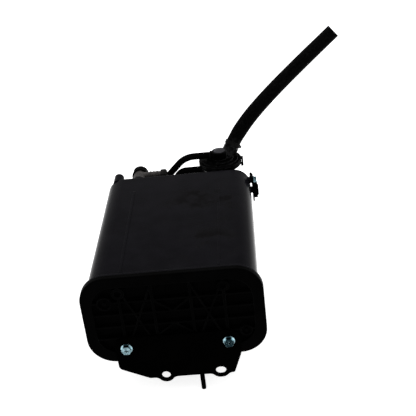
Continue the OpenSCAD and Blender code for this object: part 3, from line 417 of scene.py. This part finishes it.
def dullBlack(name, look):
    base = blackSurface
    material, shader, pen = newMaterial(name)
    place = pen.add("ShaderNodeTexCoord", out="Object")
    broad = noise(pen, place, base["broadScale"], detail=4.0)
    cloud = noise(pen, place, base["cloudScale"])
    smearsAndGlints = noise(pen, place, base["smearScale"], detail=5.0, rough=0.65).step(*base["smearRange"])
    if "patches" in look:
        near = nearPatches(pen, place, look["patches"])
        smearsAndGlints = smearsAndGlints * (near * (1 - look["elsewhere"]) + look["elsewhere"])
    grain = noise(pen, place, look["grain"], detail=2.0)
    soft = softNormal(pen, look["round"])
    plain = pen.add("ShaderNodeNewGeometry", out="Normal")
    likeness = pen.add("ShaderNodeVectorMath", {"operation": "DOT_PRODUCT"}, {0: soft, 1: plain}, "Value")
    # painted highlight along rounded edges, where the softened normal leans away from the face's own,
    # broken up like wear
    edges = (1 - likeness).step(*base["edgeRange"]) * cloud.step(*base["edgeGaps"])
    if "levelEdgeShare" in look:  # the painted edge highlight is weaker on level rib edges than on upright ones
        across = pen.maths("ABSOLUTE", pen.add("ShaderNodeSeparateXYZ", None, {0: soft}, "X"))
        flanks = across.step(*base["flankRange"])
        edges = edges * (flanks * (1 - look["levelEdgeShare"]) + look["levelEdgeShare"])
    ground = broad * base["broadShare"] + cloud * (1 - base["broadShare"])
    ground = ground.step(*base["groundRange"]).tint(solid(look["dark"]), solid(look["pale"]))
    # smudges are dirt, except on the valve and at the vent hose's foot, where they are painted glints
    colour = (smearsAndGlints * base["smearShare"]).tint(ground, solid(look["smudgeAndGlint"]))
    colour = (edges * base["edgeShare"]).tint(colour, solid(look["edge"]))
    if "recessShade" in look:  # painted shade: the deeper the recess, the darker
        depth = pen.add("ShaderNodeSeparateXYZ", None, {0: place}, "Y")
        colour = (depth.step(*look["recessShade"]) * base["recessShadeShare"]).tint(colour, (0, 0, 0, 1))
    if "flecks" in look:
        weave = noise(pen, place, base["weaveScale"], detail=1.0).step(*base["weaveRange"])
        colour = weave.tint(colour, solid(look["flecks"]))
    rough = look["rough"] + (broad - noiseMean) * look["spread"] + smearsAndGlints * look["dull"]
    rough = rough + (grain - noiseMean) * base["grainRough"]
    bump = bumpOn(pen, base["bumpStrength"], look["depth"], grain, soft)
    feed(pen, shader, {"Base Color": colour, "Roughness": rough, "Normal": bump},
         {"Specular IOR Level": look["specular"], "Specular Tint": look.get("sheen", plainTint)})
    return material


# Zinc plating, spring wire and brass; on the zinc heads the sides, and the fronts of two heads, are
# painted bright as painted highlights, and the rest is painted dark as painted shade
metals = {
    "zincFinish": {"dark": (0.006, 0.015, 0.019), "pale": (0.37, 0.56, 0.62), "rough": 0.15, "grain": 1400,
                   "litFronts": [((-0.0395, -0.004, 0.042), 0.020), ((0.116, 0.2457, 0.1135), 0.016)]},
    "springFinish": {"dark": (0.34, 0.34, 0.35), "pale": (0.55, 0.55, 0.56), "rough": 0.34, "grain": 1800},
    "brassFinish": {"dark": (0.45, 0.32, 0.12), "pale": (0.62, 0.48, 0.20), "rough": 0.3, "grain": 1800},
}
metalSurface = {
    "spangleScale": 320.0,
    "spangleRange": (0.35, 0.65),
    "spangleShare": 0.5,
    "flankRange": (0.08, 0.36),
    "frontRange": (0.01, 0.05),
    "frontShare": 0.52,
    "brightRange": (0.0, 0.9),
    "spread": 0.18,
    "round": 0.3,
    "bumpStrength": 0.12,
    "depth": 0.02,
}


def bareMetal(name, look):
    base = metalSurface
    material, shader, pen = newMaterial(name)
    place = pen.add("ShaderNodeTexCoord", out="Object")
    spangle = noise(pen, place, base["spangleScale"])
    grain = noise(pen, place, look["grain"], detail=2.0)
    soft = softNormal(pen, base["round"])
    bright = spangle.step(*base["spangleRange"])
    if "litFronts" in look:  # painted highlight and shade: flanks are painted bright on every head, fronts only near the listed heads
        across, along = [pen.add("ShaderNodeSeparateXYZ", None, {0: soft}, axis) for axis in "XY"]
        flank = pen.maths("ABSOLUTE", across).step(*base["flankRange"])
        front = (1 - (along + 1).step(*base["frontRange"])) * nearPatches(pen, place, look["litFronts"])
        paintedLight = pen.maths("MAXIMUM", flank, front * base["frontShare"])
        spots = (1 - base["spangleShare"]) + bright * base["spangleShare"]
        bright = (paintedLight * spots).step(*base["brightRange"])
    colour = bright.tint(solid(look["dark"]), solid(look["pale"]))
    rough = look["rough"] + (spangle - noiseMean) * base["spread"]
    bump = bumpOn(pen, base["bumpStrength"], base["depth"], grain, soft)
    feed(pen, shader, {"Base Color": colour, "Roughness": rough, "Normal": bump}, {"Metallic": 1.0})
    return material


# Grey-brown moulding of the purge fitting, full of fine pale and brown specks
fittingLook = {
    "dark": (0.012, 0.0108, 0.0104),
    "pale": (0.044, 0.0402, 0.0390),
    "speck": (0.140, 0.118, 0.104),
    "cloudScale": 160.0,
    "cloudRange": (0.3, 0.7),
    "speckScale": 620.0,
    "speckRange": (0.58, 0.72),
    "speckShare": 0.7,
    "grain": 1300.0,
    "round": 0.4,
    "rough": 0.55,
    "spread": 0.2,
    "bumpStrength": 0.5,
    "depth": 0.08,
    "specular": 0.12,
}


def grainyFitting(look):
    material, shader, pen = newMaterial("fittingFinish")
    place = pen.add("ShaderNodeTexCoord", out="Object")
    cloud = noise(pen, place, look["cloudScale"], detail=4.0)
    specks = noise(pen, place, look["speckScale"], detail=2.0).step(*look["speckRange"])
    grain = noise(pen, place, look["grain"], detail=2.0)
    soft = softNormal(pen, look["round"])
    ground = cloud.step(*look["cloudRange"]).tint(solid(look["dark"]), solid(look["pale"]))
    colour = (specks * look["speckShare"]).tint(ground, solid(look["speck"]))
    rough = look["rough"] + (cloud - noiseMean) * look["spread"]
    bump = bumpOn(pen, look["bumpStrength"], look["depth"], grain, soft)
    feed(pen, shader, {"Base Color": colour, "Roughness": rough, "Normal": bump},
         {"Specular IOR Level": look["specular"]})
    return material


# Felt of the filter pads and granules of the beds, both shut inside
feltLook = {
    "dark": (0.20, 0.19, 0.165),
    "pale": (0.36, 0.345, 0.305),
    "scale": 900.0,
    "range": (0.35, 0.65),
    "rough": 0.8,
    "spread": 0.15,
    "bumpStrength": 0.7,
    "depth": 0.3,
    "specular": 0.1,
}
carbonLook = {
    "top": (0.010, 0.010, 0.010),
    "gapShade": (0.003, 0.003, 0.003),
    "scale": 420.0,
    "range": (0.1, 0.6),
    "rough": 0.6,
    "spread": 0.3,
    "bumpStrength": 0.9,
    "depth": 0.8,
    "specular": 0.2,
}


def feltPad(look):
    material, shader, pen = newMaterial("feltFinish")
    place = pen.add("ShaderNodeTexCoord", out="Object")
    fibres = noise(pen, place, look["scale"], detail=6.0, rough=0.75)
    colour = fibres.step(*look["range"]).tint(solid(look["dark"]), solid(look["pale"]))
    bump = bumpOn(pen, look["bumpStrength"], look["depth"], fibres)
    feed(pen, shader,
         {"Base Color": colour, "Roughness": look["rough"] + fibres * look["spread"], "Normal": bump},
         {"Specular IOR Level": look["specular"]})
    return material


def carbonBed(look):
    material, shader, pen = newMaterial("carbonFinish")
    place = pen.add("ShaderNodeTexCoord", out="Object")
    grains = pen.add("ShaderNodeTexVoronoi", None, {"Vector": place, "Scale": look["scale"]})
    # painted shade: the gaps between the granules are darker than their faces
    colour = grains.step(*look["range"]).tint(solid(look["top"]), solid(look["gapShade"]))
    bump = bumpOn(pen, look["bumpStrength"], look["depth"], 1 - grains)
    feed(pen, shader,
         {"Base Color": colour, "Roughness": look["rough"] + grains * look["spread"], "Normal": bump},
         {"Specular IOR Level": look["specular"]})
    return material


finishOf = {
    "housingFinish": ["housing"],
    "coverFinish": ["end_cover"],
    "bracketFinish": ["mount_bracket", "side_strap", "line_clip"],
    "valveFinish": ["valve_base", "valve_cover"],
    "capFinish": ["purge_cap", "valve_seal", "valve_diaphragm"],
    "towerCapFinish": ["valve_cap"],
    "hoseFinish": ["signal_hose", "loop_hose"],
    "sleeveFinish": ["vent_hose"],
    "bandFinish": ["vent_hose_clamp"],
    "plugFinish": ["service_cap"],
    "gridFinish": ["main_grid_plate", "buffer_grid_plate"],
    "zincFinish": ["bracket_screws", "strap_screw"],
    "springFinish": ["grid_springs", "valve_spring", "diaphragm_plate"],
    "brassFinish": ["screw_inserts"],
    "fittingFinish": ["purge_fitting"],
    "feltFinish": ["main_port_filter", "buffer_port_filter", "main_cover_filter",
                   "buffer_cover_filter"],
    "carbonFinish": ["main_carbon_bed", "buffer_carbon_bed"],
}
made = {name: dullBlack(name, look) for name, look in finishes.items()}
made.update({name: bareMetal(name, look) for name, look in metals.items()})
made["fittingFinish"] = grainyFitting(fittingLook)
made["feltFinish"] = feltPad(feltLook)
made["carbonFinish"] = carbonBed(carbonLook)


def dress(piece, material):
    piece.data.materials.clear()
    piece.data.materials.append(material)


for finish, names in finishOf.items():
    for name in names:
        dress(nodes[name], made[finish])
dress(ventHose, made["sleeveFinish"])
for hose in thinHoses:
    dress(hose, made["hoseFinish"])
print("finishes given")


# Pale floor just under the bracket's tongue, white surroundings and soft lamps, in metres
studio = {
    "floorGap": 0.1 * mm,
    "floorSize": 6.0,
    "floorColour": (0.86, 0.86, 0.86, 1),
    "floorRough": 0.9,
    "floorGlow": 0.72,
    "ambient": 0.55,
}
lamps = {
    "topLamp": {"place": (0.06, 0.45, 1.15), "aim": (0.02, 0.15, 0.10), "size": 1.6, "watts": 8.0},
    "leftLamp": {"place": (-1.3, -0.2, 0.60), "aim": (0.02, 0.13, 0.08), "size": 1.4, "watts": 4.0},
    "rightLamp": {"place": (1.3, 0.1, 0.60), "aim": (0.02, 0.13, 0.08), "size": 1.4, "watts": 4.0},
}


def seenDirectly(pen):
    ways = [pen.add("ShaderNodeLightPath", out=name) for name in
            ("Is Camera Ray", "Is Glossy Ray", "Is Transmission Ray")]
    return pen.maths("MAXIMUM", pen.maths("MAXIMUM", ways[0], ways[1]), ways[2])


def addStudio(look):
    world = bpy.data.worlds.new("studioWorld")
    world.use_nodes = True
    pen = Shade(world.node_tree)
    back = world.node_tree.nodes["Background"]
    back.inputs["Color"].default_value = (1, 1, 1, 1)
    strength = seenDirectly(pen) * (1 - look["ambient"]) + look["ambient"]
    world.node_tree.links.new(strength.socket, back.inputs["Strength"])
    scene.world = world
    half = look["floorSize"] / 2
    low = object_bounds()[0][2] - look["floorGap"]
    data = bpy.data.meshes.new("floor")
    corners = [(-half, -half, low), (half, -half, low), (half, half, low), (-half, half, low)]
    data.from_pydata(corners, [], [(0, 1, 2, 3)])
    floor = bpy.data.objects.new("floor", data)
    scene.collection.objects.link(floor)
    material, shader, pen = newMaterial("floorFinish")
    fromAbove = 1 - pen.add("ShaderNodeNewGeometry", out="Backfacing")
    glow = seenDirectly(pen).tint((0, 0, 0, 1), (1, 1, 1, 1))
    feed(pen, shader, {"Emission Color": glow, "Alpha": fromAbove},
         {"Base Color": look["floorColour"], "Roughness": look["floorRough"], "Specular IOR Level": 0.0,
          "Emission Strength": look["floorGlow"]})
    dress(floor, material)
    floor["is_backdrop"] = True


def addLamp(name, look):
    data = bpy.data.lights.new(name, "AREA")
    data.shape, data.size, data.energy = "DISK", look["size"], look["watts"]
    lamp = bpy.data.objects.new(name, data)
    scene.collection.objects.link(lamp)
    place = Vector(look["place"])
    aim = (Vector(look["aim"]) - place).to_track_quat("-Z", "Y")
    lamp.matrix_world = Matrix.Translation(place) @ aim.to_matrix().to_4x4()


addStudio(studio)
for name, look in lamps.items():
    addLamp(name, look)
print("studio lit")
